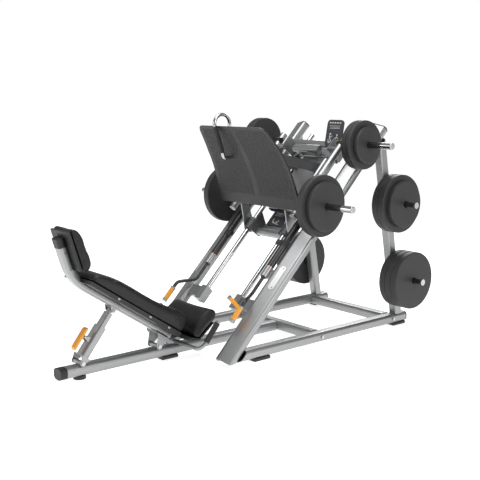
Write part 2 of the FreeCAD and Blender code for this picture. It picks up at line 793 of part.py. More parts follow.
under = tube_h / 2
yoke = side_plate(-60, 60, [on_back(14, -under), on_back(126, -under), on_back(126, -under - 8),
                            on_back(14, -under - 8)])
for sx in (1, -1):
    lo = min(sx * 52, sx * 60)
    yoke = yoke.fuse(yoke_ear(lo, lo + 8, piv, [on_back(118, -under - 4), on_back(18, -under - 4)], 22))
grip_y = -580.0
grip_z = 121.0
gusset = side_plate(-26, 26, [on_back(44, -under - 4), on_back(16, -under - 4), (-594, 141), (-487, 146.5),
                              (-470, 128), (-556, 112), (-590, 104), (-640, 110)])
gusset = gusset.cut(seat_tray)
yoke = yoke.fuse(gusset)
yoke = yoke.cut(rod(Vector(-100, grip_y, grip_z), Vector(100, grip_y, grip_z), 14))
yoke = yoke.cut(back_tube).cut(seat_caps[1])
save("seat_yoke", max(yoke.Solids, key=lambda q: q.Volume))

grip_x = 341.0
tip = Vector(0, -431, 299)
low = Vector(0, grip_y, grip_z)
gd = tip - low
gd.normalize()
u_pts = [Vector(-grip_x, tip.y, tip.z), Vector(-grip_x, low.y, low.z), Vector(grip_x, low.y, low.z),
         Vector(grip_x, tip.y, tip.z)]
save("grip_tube", bent_rod(u_pts, 62, 14))
grips = []
for sx in (1, -1):
    e = Vector(sx * grip_x, tip.y, tip.z)
    grips.append(rod(e - gd * 168, e - gd * 14, 20).cut(rod(e - gd * 170, e, 14)))
save("hand_grips", grips)

# ---- telescopic strut that holds the recline ----
p1 = Vector(0, strut_y, strut_z)
p2 = Vector(0, strut_top_y, strut_top_z)
s_dir = p2 - p1
strut_len = s_dir.Length
s_dir.normalize()
s_nrm = Vector(0, -s_dir.z, s_dir.y)


def on_strut(t, n):
    p = p1 + s_dir * t + s_nrm * n
    return (p.y, p.z)


def strut_at(x, t, n):
    p = on_strut(t, n)
    return Vector(x, p[0], p[1])


sleeve_h = 60.0
sleeve_w = 84.0
inner_h = 42.0
inner_w = 64.0
slide_gap = 0.4
sleeve = bar(strut_at(0, 44, 0), strut_at(0, 272, 0), x_dir, sleeve_w, sleeve_h, 16)
sleeve = sleeve.cut(bar(strut_at(0, 60, 0), strut_at(0, 280, 0), x_dir, inner_w + 2 * slide_gap,
                        inner_h + 2 * slide_gap, 12))
foot = side_plate(-60, 60, [on_strut(36, -34), on_strut(36, 34), on_strut(46, 34), on_strut(46, -34)])
sleeve = sleeve.fuse(foot)
for sx in (1, -1):
    lo = min(sx * 52, sx * 60)
    sleeve = sleeve.fuse(yoke_ear(lo, lo + 8, p1, [on_strut(44, 34), on_strut(44, -34)], 20))
lever_t = 155.0
lever_n = 74.0
lever_pin_r = 4.0
for sx in (1, -1):
    lo = min(sx * 20, sx * 27)
    ear = side_plate(lo, lo + 7, [on_strut(lever_t - 20, 28), on_strut(lever_t + 20, 28),
                                  on_strut(lever_t + 6, lever_n), on_strut(lever_t - 6, lever_n)])
    c = strut_at(lo, lever_t, lever_n)
    ear = ear.fuse(rod(c, c + Vector(7, 0, 0), 7))
    sleeve = sleeve.fuse(ear)
pin = rod(strut_at(-30, lever_t, lever_n), strut_at(30, lever_t, lever_n), lever_pin_r)
sleeve = sleeve.fuse(pin)
save("strut_sleeve", solid_of(sleeve))

eye_bore = top_pin_r + loop_gap
inner = bar(strut_at(0, 150, 0), strut_at(0, strut_len - 24, 0), x_dir, inner_w, inner_h, 11.6)
inner = inner.fuse(side_plate(-14, 14, [on_strut(strut_len - 26, -14), on_strut(strut_len - 26, 14),
                                        on_strut(strut_len, 14), on_strut(strut_len, -14)]))
inner = inner.fuse(rod(strut_at(-14, strut_len, 0), strut_at(14, strut_len, 0), 14))
inner = inner.cut(rod(strut_at(-20, strut_len, 0), strut_at(20, strut_len, 0), eye_bore))
save("strut_inner", solid_of(inner))

# Ears under the back tube that hold the strut's top pin.
hold = []
for sx in (1, -1):
    lo = min(sx * 36, sx * 43)
    ear = yoke_ear(lo, lo + 7, p2, [on_back(566, -under + 8), on_back(490, -under + 8)], 16)
    ear = ear.cut(bar(seat_low, seat_bend, x_dir, tube_w, tube_h, 20))
    hold.append(max(ear.Solids, key=lambda q: q.Volume))
top_pin = rod(strut_at(-46, strut_len, 0), strut_at(46, strut_len, 0), bolt_r + pin_gap + 0.5)
top_pin = top_pin.cut(rod(strut_at(-35.5, strut_len, 0), strut_at(35.5, strut_len, 0), 30))
top_pin = top_pin.fuse(rod(strut_at(-46, strut_len, 0), strut_at(46, strut_len, 0), top_pin_r))
holder = hold[0].fuse(hold[1]).fuse(top_pin)
save("strut_top_bracket", max(holder.Solids, key=lambda q: q.Volume))

# Release lever on the sleeve.
lever = side_plate(-24, 24, [on_strut(46, 84), on_strut(60, 97), on_strut(198, 99), on_strut(214, 88),
                             on_strut(206, 82), on_strut(60, 82)])
lever = soften(lever, 7, lambda e: abs(abs(e.CenterOfMass.x) - 24) < 0.5)
lug = side_plate(-13, 13, [on_strut(lever_t - 9, 84), on_strut(lever_t + 9, 84),
                           on_strut(lever_t + 6, lever_n - 4),
                           on_strut(lever_t - 6, lever_n - 4)])
lug = lug.fuse(rod(strut_at(-13, lever_t, lever_n), strut_at(13, lever_t, lever_n), 7.5))
lever = lever.fuse(lug)
lever = lever.cut(rod(strut_at(-30, lever_t, lever_n), strut_at(30, lever_t, lever_n), lever_pin_r + pin_gap))
save("release_lever", solid_of(lever))

# Pivot bolts: tight in the pivot tubes, a running fit in the yoke ears.
bolts = []
for p in (piv, p1):
    b = rod(Vector(-65, p.y, p.z), Vector(65, p.y, p.z), bolt_r)
    for sx in (1, -1):
        b = b.fuse(rod(Vector(sx * 60.5, p.y, p.z), Vector(sx * 65, p.y, p.z), 13))
    bolts.append(b)
save("pivot_bolts", bolts)

# ---- grab handle over the footplate ----
hx = -143.0
leg = [Vector(hx, 104, 1386), Vector(hx, 14, 1380), Vector(hx, -104, 1702), Vector(hx, 84, 1702),
       Vector(hx, 40, 1502)]


def hook(points, radii, r):
    """Round rod along points with its own radius at each corner."""
    edges = []
    start = points[0]
    for i in range(1, len(points) - 1):
        b = points[i]
        u = points[i - 1] - b
        w = points[i + 1] - b
        u.normalize()
        w.normalize()
        half = u.getAngle(w) / 2
        t = radii[i - 1] / math.tan(half)
        m = u + w
        m.normalize()
        mid = b + m * (radii[i - 1] / math.sin(half) - radii[i - 1])
        edges.append(Part.makeLine(start, b + u * t))
        edges.append(Part.Arc(b + u * t, mid, b + w * t).toShape())
        start = b + w * t
    edges.append(Part.makeLine(start, points[-1]))
    ring = Part.Wire(Part.makeCircle(r, points[0], points[1] - points[0]))
    return Part.Wire(edges).makePipeShell([ring], True, False)


handle = hook(leg, [24, 68, 68], 13)
handle = handle.cut(plate_body)
save("grab_handle", max(handle.Solids, key=lambda q: q.Volume))
ga = leg[1] + (leg[2] - leg[1]) * 0.13
gb = leg[1] + (leg[2] - leg[1]) * 0.74
save("grab_grip", rod(ga, gb, 17).cut(handle).cut(plate_body))

# ---- curved front bar of the carriage ----
front_bar = bar(at(-190, 1572, 437), at(86, 1572, 437), d_dir, 66, 44, 18)
legs = []
for x in (-150, 40):
    legs.append(slope_block(x - 22, x + 22, 1550, 1594, rod_n + 27, 416))
for q in legs:
    front_bar = front_bar.fuse(q)
front_bar = front_bar.cut(bar(at(-rod_x, cross_up_s, rod_n), at(rod_x, cross_up_s, rod_n), d_dir, 90, 58, 24))
save("front_bar", solid_of(front_bar))

# ---- signs without lettering ----
sign_n = low_bar_n - 17
sign = slope_block(-138, 138, 906, 1052, sign_n, sign_n + 6)
save("instruction_panel", soften(sign, 10, lambda e: e.Length < 7))
bracket = slope_block(-154, 154, cross_low_s + 20.5, 1062, sign_n - 6, sign_n - 0.3)
bracket = bracket.fuse(slope_block(-20, 20, 1054, 1062, sign_n - 2, spine_n0 - 0.2))
save("panel_bracket", bracket)

pl_tilt = math.radians(11)
pl_up = Vector(0, math.sin(pl_tilt), math.cos(pl_tilt))
pl_c = Vector(151, 896, 1547)
board = Part.Face(profile(pl_c, x_dir, pl_up, 170, 216, 30)).extrude(pl_up.cross(x_dir) * -13)
board = board.fuse(block(121, 181, pl_c.y - 22, 960, 1456, 1484))
top_solid = bar(at(-upright_x - 6, top_bar_s, rod_n), at(upright_x + 6, top_bar_s, rod_n), d_dir, 64, 62, 22)
board = board.cut(top_solid)
save("placard", max(board.Solids, key=lambda q: q.Volume))

# ---- blank badges, bolts ----
badges = []
for sx in (1, -1):
    u, v = upright_axes(sx)
    c = upright_mid(sx, 421) + v * (upright_t / 2)
    badges.append(Part.Face(profile(c, d_dir, u, 205, 45, 22)).extrude(v * 4))
save("badge_plates", badges)

frame_bolts = []
for sx in (1, -1):
    for y in (front_cross_y, rear_cross_y):
        p = Vector(sx * (rail_x + base_w / 2), y, base_mid)
        frame_bolts.append(rod(p, p + x_dir * (sx * 7), 13))
    p = Vector(sx * post_out, low_y + 0, horn_low_z + 64)
    frame_bolts.append(rod(Vector(sx * post_out, p.y, p.z), Vector(sx * (post_out + 7), p.y, p.z), 13))
save("frame_bolts", frame_bolts)
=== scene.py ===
import json
import math

import bmesh
import bpy
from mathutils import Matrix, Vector
from mathutils.bvhtree import BVHTree


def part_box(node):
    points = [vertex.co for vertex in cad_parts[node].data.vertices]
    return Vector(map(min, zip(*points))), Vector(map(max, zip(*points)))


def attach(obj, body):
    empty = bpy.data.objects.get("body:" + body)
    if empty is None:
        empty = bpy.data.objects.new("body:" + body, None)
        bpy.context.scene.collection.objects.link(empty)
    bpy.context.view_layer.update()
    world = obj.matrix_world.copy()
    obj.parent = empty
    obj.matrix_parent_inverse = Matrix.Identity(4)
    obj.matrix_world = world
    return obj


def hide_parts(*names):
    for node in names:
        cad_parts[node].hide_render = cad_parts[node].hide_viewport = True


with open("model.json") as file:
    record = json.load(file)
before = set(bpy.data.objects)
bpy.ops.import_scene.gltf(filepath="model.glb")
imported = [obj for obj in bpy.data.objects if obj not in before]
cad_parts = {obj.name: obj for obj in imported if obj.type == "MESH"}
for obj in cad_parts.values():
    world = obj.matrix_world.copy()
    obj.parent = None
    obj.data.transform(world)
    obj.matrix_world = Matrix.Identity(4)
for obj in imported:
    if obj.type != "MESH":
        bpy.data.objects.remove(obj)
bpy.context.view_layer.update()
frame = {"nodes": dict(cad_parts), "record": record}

MM = 0.001
RAIL = math.radians(45.5)
UP_RAIL = Vector((0, math.cos(RAIL), math.sin(RAIL)))
OFF_RAIL = Vector((0, -math.sin(RAIL), math.cos(RAIL)))
X = Vector((1, 0, 0))
Y = Vector((0, 1, 0))
Z = Vector((0, 0, 1))


def rail_point(x, s, n):
    """A point given in millimetres across, along and off the guide rods."""
    return (X * x + UP_RAIL * s + OFF_RAIL * n) * MM


def mm(x, y, z):
    return Vector((x, y, z)) * MM


# ---------------------------------------------------------------- materials


class Link:
    """A value in a material, with arithmetic that adds Math nodes."""

    def __init__(self, mat, socket):
        self.mat = mat
        self.socket = socket

    def math(self, kind, other=None, swap=False):
        values = [self, other] if not swap else [other, self]
        values = {i: v for i, v in enumerate(values) if v is not None}
        return self.mat.node("ShaderNodeMath", {"operation": kind}, values)

    def __add__(self, other):
        return self.math("ADD", other)

    def __sub__(self, other):
        return self.math("SUBTRACT", other)

    def __rsub__(self, other):
        return self.math("SUBTRACT", other, swap=True)

    def __mul__(self, other):
        return self.math("MULTIPLY", other)

    __radd__ = __add__
    __rmul__ = __mul__


class Finish:
    """A node material with one Principled shader."""

    def __init__(self, name, color, roughness, metallic=0.0, **fixed):
        self.material = bpy.data.materials.new(name)
        self.material.use_nodes = True
        self.tree = self.material.node_tree
        self.tree.nodes.clear()
        self.shader = self.tree.nodes.new("ShaderNodeBsdfPrincipled")
        out = self.tree.nodes.new("ShaderNodeOutputMaterial")
        self.tree.links.new(self.shader.outputs[0], out.inputs["Surface"])
        self.set("Base Color", (*color, 1.0))
        self.set("Roughness", roughness)
        self.set("Metallic", metallic)
        for key, value in fixed.items():
            self.set(key.replace("_", " "), value)
        self.color = color

    def set(self, name, value):
        socket = self.shader.inputs[name]
        if isinstance(value, Link):
            self.tree.links.new(value.socket, socket)
        else:
            socket.default_value = value

    def node(self, kind, settings=None, values=None, output=0):
        made = self.tree.nodes.new(kind)
        for key, value in (settings or {}).items():
            setattr(made, key, value)
        for key, value in (values or {}).items():
            if isinstance(value, Link):
                self.tree.links.new(value.socket, made.inputs[key])
            else:
                made.inputs[key].default_value = value
        return Link(self, made.outputs[output])

    def place(self):
        return self.node("ShaderNodeTexCoord", output=3)

    def noise(self, scale, detail=3.0, stretch=None):
        where = self.place()
        if stretch:
            where = self.node("ShaderNodeMapping", None, {0: where, 3: stretch})
        values = {"Vector": where, "Scale": scale, "Detail": detail}
        return self.node("ShaderNodeTexNoise", None, values)

    def tint(self, amount, low, high):
        """Base colour that drifts between two brightnesses of the finish."""
        a = tuple(min(1.0, c * low) for c in self.color)
        b = tuple(min(1.0, c * high) for c in self.color)
        values = {0: amount, 6: (*a, 1), 7: (*b, 1)}
        mix = self.node("ShaderNodeMix", {"data_type": "RGBA"}, values, output=2)
        self.set("Base Color", mix)

    def bump(self, height, strength, distance):
        values = {"Height": height, "Strength": strength, "Distance": distance}
        normal = self.node("ShaderNodeBump", None, values)
        self.set("Normal", normal)


def silver_paint():
    """Metallic silver powder coat with a fine orange peel."""
    f = Finish("silver_powder_coat", (0.335, 0.338, 0.342), 0.36, 0.85,
               Coat_Weight=0.15, Coat_Roughness=0.22)
    flake = f.noise(900.0, 2.0)
    drift = f.noise(2.4, 3.0)
    f.tint(drift * 0.6 + flake * 0.4, 0.90, 1.08)
    f.set("Roughness", drift * 0.10 + 0.31)
    f.bump(f.noise(420.0, 2.0), 0.12, 0.0004)
    return f.material


def graphite_paint():
    f = Finish("graphite_paint", (0.10, 0.10, 0.104), 0.42, 0.35,
               Coat_Weight=0.15, Coat_Roughness=0.3)
    drift = f.noise(5.0, 3.0)
    f.tint(drift, 0.85, 1.15)
    f.set("Roughness", drift * 0.12 + 0.36)
    f.bump(f.noise(420.0, 2.0), 0.12, 0.0004)
    return f.material


def black_paint():
    f = Finish("black_powder_coat", (0.009, 0.009, 0.0095), 0.34, 0.0,
               Coat_Weight=0.3, Coat_Roughness=0.25)
    drift = f.noise(7.0, 4.0)
    f.tint(drift, 0.8, 1.3)
    f.set("Roughness", drift * 0.16 + 0.28)
    f.bump(f.noise(500.0, 2.0), 0.15, 0.0004)
    return f.material


def badge_metal():
    """Bright satin metal of the blank badges."""
    f = Finish("badge_metal", (0.66, 0.665, 0.67), 0.30, 0.75)
    brushed = f.noise(60.0, 3.0, (1.0, 1.0, 8.0))
    f.tint(brushed, 0.92, 1.06)
    f.set("Roughness", brushed * 0.12 + 0.24)
    return f.material


def chrome():
    f = Finish("bright_chrome", (0.50, 0.505, 0.51), 0.14, 1.0)
    wipe = f.noise(24.0, 4.0, (1.0, 1.0, 6.0))
    f.set("Roughness", wipe * 0.12 + 0.05)
    f.tint(wipe, 0.93, 1.05)
    return f.material


def plate_rubber():
    """Rubber-coated weight plates: dark grey, matte and faintly pebbled."""
    f = Finish("plate_rubber", (0.026, 0.026, 0.027), 0.52, 0.0, Specular_IOR_Level=0.42)
    dust = f.noise(6.0, 5.0)
    f.tint(dust, 0.85, 1.25)
    f.set("Roughness", dust * 0.16 + 0.44)
    f.bump(f.noise(650.0, 3.0), 0.18, 0.0006)
    return f.material


def grip_rubber():
    f = Finish("grip_foam", (0.018, 0.018, 0.019), 0.7)
    grain = f.noise(900.0, 2.0)
    f.tint(grain, 0.8, 1.3)
    f.set("Roughness", grain * 0.2 + 0.6)
    f.bump(grain, 0.35, 0.0008)
    return f.material


def moulded_plastic(name, color, low, high):
    f = Finish(name, color, 0.5)
    drift = f.noise(9.0, 3.0)
    f.tint(drift, low, high)
    f.set("Roughness", drift * 0.15 + 0.42)
    f.bump(f.noise(800.0, 2.0), 0.25, 0.0005)
    return f.material


def upholstery():
    """Vinyl with a fine pebble grain, painted shade in its creases and a slight sheen."""
    f = Finish("black_vinyl", (0.0075, 0.0075, 0.008), 0.46, 0.0,
               Sheen_Weight=0.02, Sheen_Roughness=0.4, Specular_IOR_Level=0.36)
    cells = f.node("ShaderNodeTexVoronoi", {"feature": "DISTANCE_TO_EDGE"},
                   {"Vector": f.place(), "Scale": 420.0})
    # Mask of the grain creases. It paints shade into the creases through the base colour, and it
    # also drives roughness and bump.
    crease_relief_and_shade = f.node("ShaderNodeMapRange", {"clamp": True},
                    {0: cells, 1: 0.0, 2: 0.12, 3: 0.0, 4: 1.0})
    drift = f.noise(5.0, 4.0)
    # Base colour is random tone drift plus painted shade that darkens the grain creases.
    f.tint(drift * 0.7 + crease_relief_and_shade * 0.3, 0.75, 1.3)
    f.set("Roughness", drift * 0.14 + 0.40 - crease_relief_and_shade * 0.04)
    f.bump(crease_relief_and_shade * 0.7 + f.noise(160.0, 3.0) * 0.5, 0.22, 0.0007)
    return f.material


def orange_plastic():
    f = Finish("orange_plastic", (0.80, 0.33, 0.022), 0.36, 0.0,
               Coat_Weight=0.2, Coat_Roughness=0.25)
    drift = f.noise(12.0, 3.0)
    f.tint(drift, 0.9, 1.08)
    f.set("Roughness", drift * 0.14 + 0.30)
    f.bump(f.noise(600.0, 2.0), 0.15, 0.0004)
    return f.material


def copper():
    f = Finish("copper_ring", (0.72, 0.36, 0.22), 0.25, 1.0)
    wipe = f.noise(60.0, 3.0)
    f.tint(wipe, 0.85, 1.1)
    f.set("Roughness", wipe * 0.2 + 0.18)
    return f.material


def ink(name, color):
    f = Finish(name, color, 0.45)
    drift = f.noise(30.0, 2.0)
    f.tint(drift, 0.94, 1.04)
    return f.material


PAINT = {
    "silver_paint": silver_paint(),
    "graphite_paint": graphite_paint(),
    "black_paint": black_paint(),
    "chrome": chrome(),
    "black_rubber": plate_rubber(),
    "black_plastic": moulded_plastic("black_plastic", (0.012, 0.012, 0.0125), 0.85, 1.25),
    "upholstery": upholstery(),
    "orange_plastic": orange_plastic(),
    "sign_board": moulded_plastic("sign_board", (0.030, 0.034, 0.040), 0.9, 1.1),
}
FOAM = grip_rubber()
COPPER = copper()
BADGE = badge_metal()
WHITE_INK = ink("pale_ink", (0.62, 0.63, 0.65))
ORANGE_INK = ink("orange_ink", (0.80, 0.33, 0.03))
PIPING = ink("vinyl_piping", (0.008, 0.008, 0.008))
PLATE_PLASTIC = moulded_plastic("footplate_plastic", (0.014, 0.014, 0.0145), 0.9, 1.15)
TREAD = moulded_plastic("tread_plastic", (0.040, 0.040, 0.041), 0.9, 1.2)
for entry in frame["record"]["subparts"]:
    node = frame["nodes"][entry["node"]]
    finish = PAINT[entry["material_slot"]]
    if entry["node"] in ("grab_grip", "hand_grips"):
        finish = FOAM
    if entry["node"] == "footplate":
        finish = PLATE_PLASTIC
    if entry["node"] == "badge_plates":
        finish = BADGE
    node.data.materials.clear()
    node.data.materials.append(finish)

# ---------------------------------------------------------------- mesh tools


def piece(name, mesh, material, body, smooth=True):
    made = bpy.data.objects.new(name, mesh)
    bpy.context.scene.collection.objects.link(made)
    mesh.materials.append(material)
    for face in mesh.polygons:
        face.use_smooth = smooth
    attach(made, body)
    return made


def mesh_of(name, build):
    mesh = bpy.data.meshes.new(name)
    bm = bmesh.new()
    build(bm)
    bmesh.ops.recalc_face_normals(bm, faces=bm.faces)
    bm.to_mesh(mesh)
    bm.free()
    return mesh


def ring_frame(axis):
    axis = axis.normalized()
    side = axis.orthogonal().normalized()
    return side, axis.cross(side)


def turned(bm, base, axis, outline, steps=40):
    """Closed turned shape: outline is (distance along axis, radius) pairs."""
    axis = axis.normalized()
    u, v = ring_frame(axis)
    rings = []
    for along, radius in outline:
        ring = []
        for i in range(steps):
            t = 2 * math.pi * i / steps
            spoke = (u * math.cos(t) + v * math.sin(t)) * radius
            ring.append(bm.verts.new(base + axis * along + spoke))
        rings.append(ring)
    for low, high in zip(rings, rings[1:]):
        for i in range(steps):
            j = (i + 1) % steps
            bm.faces.new((low[i], low[j], high[j], high[i]))
    bm.faces.new(rings[0])
    bm.faces.new(rings[-1])


def swept(bm, points, radius, steps=10):
    """Round cord along points."""
    rings = []
    count = len(points)
    side = None
    for i, p in enumerate(points):
        ahead = points[i + 1] if i + 1 < count else p
        behind = points[i - 1] if i > 0 else p
        axis = (ahead - behind).normalized()
        if side is None:
            side = axis.orthogonal().normalized()
        side = (side - axis * side.dot(axis)).normalized()
        other = axis.cross(side)
        ring = []
        for k in range(steps):
            t = 2 * math.pi * k / steps
            ring.append(bm.verts.new(p + (side * math.cos(t) + other * math.sin(t)) * radius))
        rings.append(ring)
    for low, high in zip(rings, rings[1:]):
        for k in range(steps):
            j = (k + 1) % steps
            bm.faces.new((low[k], low[j], high[j], high[k]))
    bm.faces.new(rings[0])
    bm.faces.new(rings[-1])


def slab(bm, centre, u, v, n, wide, tall, thick, corner=0.0, steps=5):
    """Flat plate with rounded corners, thick along n."""
    outline = []
    corner = max(corner, 0.0001)
    for sx, sy, start in ((1, 1, 0.0), (-1, 1, 0.5), (-1, -1, 1.0), (1, -1, 1.5)):
        for i in range(steps + 1):
            t = math.pi * (start + 0.5 * i / steps)
            outline.append((sx * (wide / 2 - corner) + corner * math.cos(t),
                            sy * (tall / 2 - corner) + corner * math.sin(t)))
    low = [bm.verts.new(centre + u * a + v * b) for a, b in outline]
    high = [bm.verts.new(centre + u * a + v * b + n * thick) for a, b in outline]
    count = len(outline)
    for i in range(count):
        j = (i + 1) % count
        bm.faces.new((low[i], low[j], high[j], high[i]))
    bm.faces.new(low)
    bm.faces.new(high)


# ---------------------------------------------------------------- cushions

BACK_TILT = math.radians(33.7)
BACK_UP = Vector((0, -math.cos(BACK_TILT), math.sin(BACK_TILT)))
BACK_OUT = Vector((0, math.sin(BACK_TILT), math.cos(BACK_TILT)))
SEAT_LOW = mm(0, -620, 167)
SEAT_BEND = SEAT_LOW + BACK_UP * 0.899
SEAT_TOP = SEAT_BEND + mm(0, -69, 225)
HEAD_UP = (SEAT_TOP - SEAT_BEND).normalized()
HEAD_OUT = Vector((0, HEAD_UP.z, -HEAD_UP.y))


STUFFING_PRESSURE = 4.0
STUFFING_STEPS = 20
INSET = 0.006              # start of each cover inside its plain solid
SWELL = 0.008              # furthest that stuffing may push a point
CORD_R = 0.0016            # seam piping
CORD_SINK = 0.0006
DROP = 0.30                # height that seam points are dropped from
BACK_SEAM_X = 0.155
HEAD_SEAM_X = 0.104


def bake(made):
    """Puts what the modifiers give into the mesh and clears them."""
    graph = bpy.context.evaluated_depsgraph_get()
    mesh = bpy.data.meshes.new_from_object(made.evaluated_get(graph))
    made.modifiers.clear()
    made.data = mesh


def cushion(name, source, voxel, inset, swell):
    """Stuffed cover blown up inside the room that a plain solid holds."""
    made = bpy.data.objects.new(name, frame["nodes"][source].data.copy())
    bpy.context.scene.collection.objects.link(made)
    made.data.materials.clear()
    made.data.materials.append(PAINT["upholstery"])
    grid = made.modifiers.new("grid", "REMESH")
    grid.mode = "VOXEL"
    grid.voxel_size = voxel
    bake(made)
    bm = bmesh.new()
    bm.from_mesh(made.data)
    bmesh.ops.smooth_vert(bm, verts=bm.verts, factor=0.5,
                          use_axis_x=True, use_axis_y=True, use_axis_z=True)
    bm.normal_update()
    for vert in bm.verts:
        vert.co -= vert.normal * inset
    bm.to_mesh(made.data)
    bm.free()
    start = [v.co.copy() for v in made.data.vertices]
    cloth = made.modifiers.new("stuffing", "CLOTH")
    cloth.settings.use_pressure = True
    cloth.settings.uniform_pressure_force = STUFFING_PRESSURE
    cloth.settings.quality = 5
    cloth.settings.effector_weights.gravity = 0.0
    for step in range(1, STUFFING_STEPS + 1):
        bpy.context.scene.frame_set(step)
    bake(made)
    bpy.context.scene.frame_set(1)
    for vert, rest in zip(made.data.vertices, start):
        move = vert.co - rest
        if move.length > swell:
            vert.co = rest + move * (swell / move.length)
    finer = made.modifiers.new("finer", "SUBSURF")
    finer.levels = 1
    finer.render_levels = 1
    bake(made)
    for face in made.data.polygons:
        face.use_smooth = True
    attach(made, "seat")
    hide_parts(source)
    return made


def surface_of(made):
    bm = bmesh.new()
    bm.from_mesh(made.data)
    tree = BVHTree.FromBMesh(bm)
    bm.free()
    return tree


def on_surface(tree, start, toward):
    hit = tree.ray_cast(start, toward)
    return hit[0], hit[1]


def seam(name, tree, starts, toward):
    """Piping laid along a cushion, found by dropping points on its cover."""
    points = []
    for start in starts:
        place, facing = on_surface(tree, start, toward)
        if place is not None:
            points.append(place - facing * CORD_SINK)
    if len(points) < 3:
        return
    mesh = mesh_of(name, lambda bm: swept(bm, points, CORD_R, 8))
    piece(name, mesh, PIPING, "seat")


back_cushion = cushion("back_cushion", "back_pad", 0.006, INSET, SWELL)
head_cushion = cushion("head_cushion", "head_pad", 0.005, INSET, SWELL)
seat_cushion = cushion("seat_cushion", "seat_pad", 0.006, INSET, SWELL)


def along(base, up, low, high, count=40):
    return [base + up * (low + (high - low) * i / (count - 1)) * MM for i in range(count)]


back_cover = surface_of(back_cushion)
head_cover = surface_of(head_cushion)
seat_cover = surface_of(seat_cushion)
for side in (-1, 1):
    tag = "left" if side < 0 else "right"
    lane = SEAT_LOW + BACK_OUT * DROP + X * side * BACK_SEAM_X
    seam("back_top_seam_" + tag, back_cover, along(lane, BACK_UP, 52, 846), -BACK_OUT)
    lane = SEAT_LOW + BACK_OUT * 0.062 + X * side * DROP
    seam("back_side_seam_" + tag, back_cover, along(lane, BACK_UP, 40, 850), X * -side)
    lane = SEAT_TOP + HEAD_OUT * DROP + X * side * HEAD_SEAM_X
    seam("head_top_seam_" + tag, head_cover, along(lane, HEAD_UP, -170, 92, 24), -HEAD_OUT)
    lane = SEAT_TOP + HEAD_OUT * 0.058 + X * side * DROP
    seam("head_side_seam_" + tag, head_cover, along(lane, HEAD_UP, -176, 98, 24), X * -side)
for label, t in (("low", 52), ("high", 846)):
    middle = SEAT_LOW + BACK_UP * t * MM + BACK_OUT * DROP
    row = [middle + X * (-BACK_SEAM_X + 2 * BACK_SEAM_X * i / 23) for i in range(24)]
    seam("back_cross_seam_" + label, back_cover, row, -BACK_OUT)
for label, t in (("low", -170), ("high", 92)):
    middle = SEAT_TOP + HEAD_UP * t * MM + HEAD_OUT * DROP
    row = [middle + X * (-HEAD_SEAM_X + 2 * HEAD_SEAM_X * i / 23) for i in range(24)]
    seam("head_cross_seam_" + label, head_cover, row, -HEAD_OUT)
for side in (-1, 1):
    tag = "left" if side < 0 else "right"
    hub = mm(side * 202, -440, 262)
    fan = []
    for i in range(30):
        turn = math.radians(-20 + 210 * i / 29)
        fan.append((math.cos(turn), math.sin(turn)))
    points = []
    for c, d in fan:
        place, facing = on_surface(seat_cover, hub + Vector((0, c, d)) * 0.4, Vector((0, -c, -d)))
        if place is not None:
            points.append(place - facing * CORD_SINK)
    if len(points) > 3:
        name = "seat_edge_seam_" + tag
        mesh = mesh_of(name, lambda bm: swept(bm, points, CORD_R, 8))
        piece(name, mesh, PIPING, "seat")

# ---------------------------------------------------------------- footplate tread

footplate = surface_of(frame["nodes"]["footplate"])
TREAD_PITCH_X = 0.0190
TREAD_PITCH_Z = 0.0300
TREAD_LONG = 0.0230
TREAD_WIDE = 0.0085
TREAD_HIGH = 0.0024
BORDER = 0.034
CENTRE_STRIP = 0.030


low_corner, high_corner = (Vector(c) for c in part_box("footplate"))
edge_reach = {}
level = low_corner.z + 0.03
while level < high_corner.z:
    reach = 0.30
    while reach < 0.47 and on_surface(footplate, Vector((reach, -0.6, level)), Y)[0] is not None:
        reach += 0.004
    edge_reach[level] = reach
    level += 0.02


def half_width(z):
    """Half width of the footplate's face at a height."""
    return edge_reach[min(edge_reach, key=lambda level: abs(level - z))]


def stud(bm, place, facing):
    """Low rounded stroke standing on the plate."""
    across = X
    up = facing.cross(across).normalized()
    if up.z < 0:
        up = -up
    rings = []
    for lift, shrink in ((-0.0008, 1.0), (TREAD_HIGH * 0.6, 0.92), (TREAD_HIGH, 0.62)):
        ring = []
        for i in range(8):
            t = 2 * math.pi * (i + 0.5) / 8
            a = math.cos(t) * TREAD_WIDE / 2 * shrink
            end = math.copysign(TREAD_LONG / 2 - TREAD_WIDE / 2, math.sin(t))
            b = end + math.sin(t) * TREAD_WIDE / 2 * shrink
            ring.append(bm.verts.new(place + across * a + up * b + facing * lift))
        rings.append(ring)
    for inner, outer in zip(rings, rings[1:]):
        for i in range(8):
            j = (i + 1) % 8
            bm.faces.new((inner[i], inner[j], outer[j], outer[i]))
    bm.faces.new(rings[0])
    bm.faces.new(rings[-1])


def tread(bm, side):
    z = low_corner.z + 0.085
    row = 0
    while z < high_corner.z - BORDER:
        x = CENTRE_STRIP + (TREAD_PITCH_X / 2 if row % 2 else 0)
        reach = half_width(z) - BORDER
        while x < reach:
            place, facing = on_surface(footplate, Vector((side * x, -0.6, z)), Y)
            if place is not None and facing.y < -0.2:
                stud(bm, place, facing)
            x += TREAD_PITCH_X
        z += TREAD_PITCH_Z * 0.5
        row += 1


for side in (-1, 1):
    name = "footplate_tread_left" if side < 0 else "footplate_tread_right"
    piece(name, mesh_of(name, lambda bm: tread(bm, side)), TREAD, "carriage")

# ---------------------------------------------------------------- small fittings


STOP_X = 328               # turning stop tubes, in rail millimetres
STOP_N = 393
GRIP_X = 404               # orange grips
GRIP_N = 471
GRIP_TOP_S = 84
GRIP_END_S = -45
SLEEVE_RING_S = 474.6
SLEEVE_END_S = 1046
LUG_S = (688, 1003)


def ring(name, base, axis, outline, material, body, slot, steps=40):
    """Small turned fitting; its outline is in millimetres."""
    outline = [(a * MM, r * MM) for a, r in outline]
    mesh = mesh_of(name, lambda bm: turned(bm, base, axis, outline, steps))
    return piece(name, mesh, material, body, False)


def soft_ring(length, radius, edge=1.0):
    return [(0, radius - edge), (edge, radius), (length - edge, radius), (length, radius - edge)]


